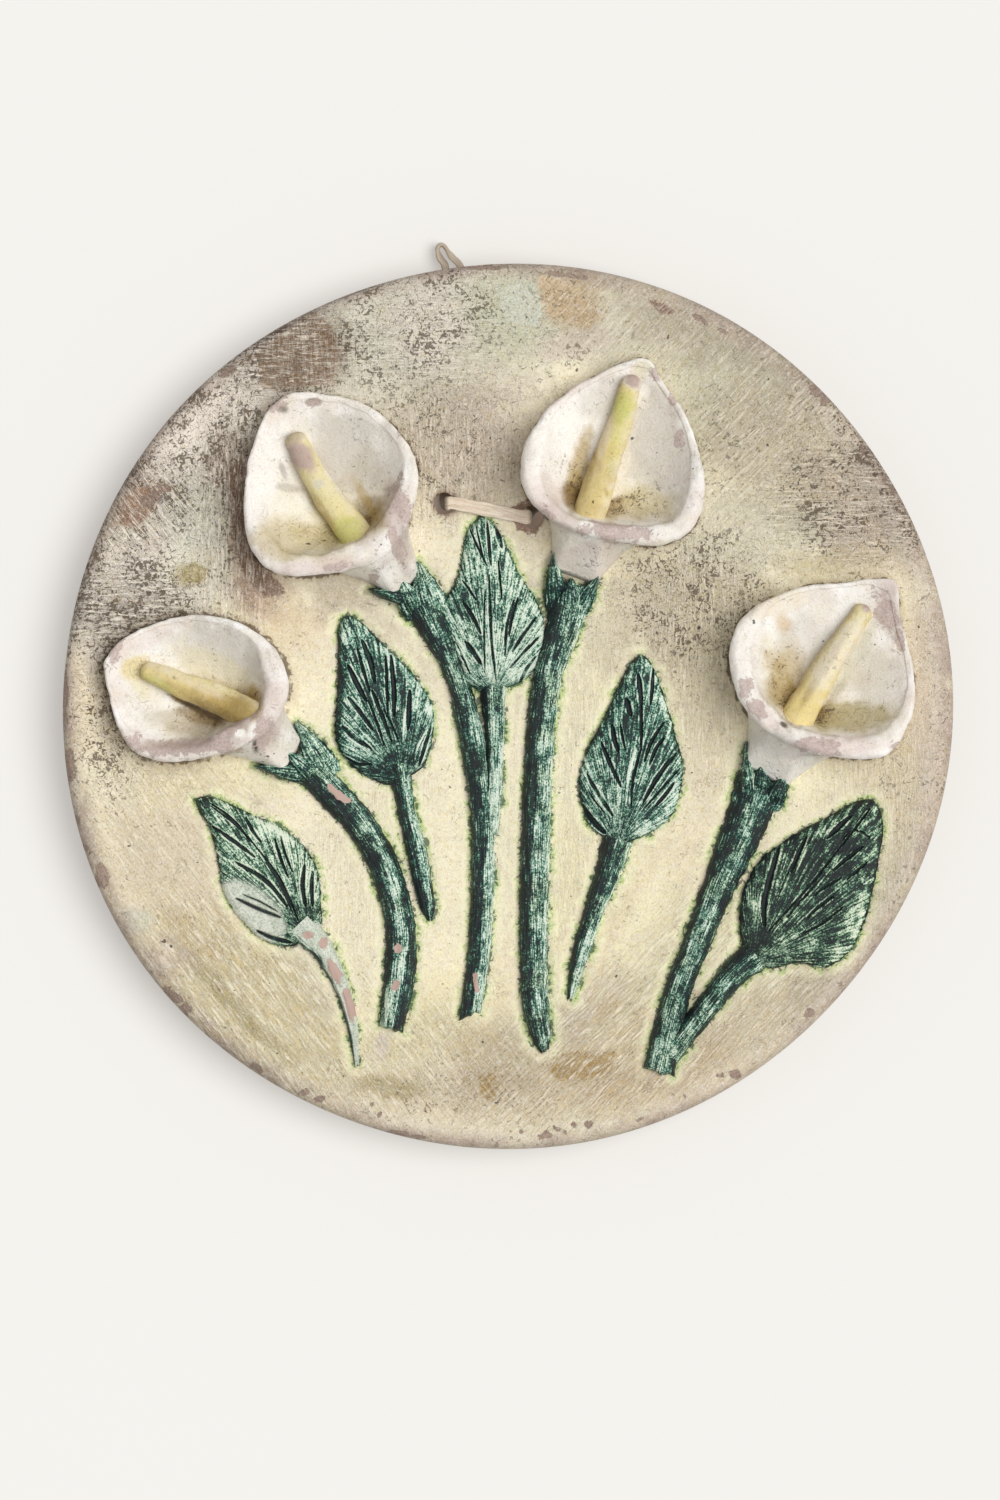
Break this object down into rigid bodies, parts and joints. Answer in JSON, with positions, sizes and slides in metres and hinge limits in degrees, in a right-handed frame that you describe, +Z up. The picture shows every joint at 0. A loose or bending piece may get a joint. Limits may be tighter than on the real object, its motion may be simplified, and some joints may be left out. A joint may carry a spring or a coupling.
{
  "type": "decorative wall plate",
  "caption": "Round shallow plate of fired clay with painted calla lilies, leaves and stems in high relief, pierced for a flat leather lace whose folded loop hangs it on a nail.",
  "frame": {"origin": "centre of the flat foot of the plate's back, in the plane of the wall that it lies on", "axes": "+Z up as the plate hangs, +Y out of the back into the wall, so the relief faces -Y; +X to the right seen from the front"},
  "size_m": [0.2808, 0.0358, 0.2867],
  "materials": {
    "painted_clay": "matt hand-painted wash over fired clay, rubbed back and worn",
    "suede": "matt suede"
  },
  "bodies": {
    "root": {"plate": "painted_clay", "hanging_lace": "suede", "lace_knot": "suede"}
  },
  "joints": []
}
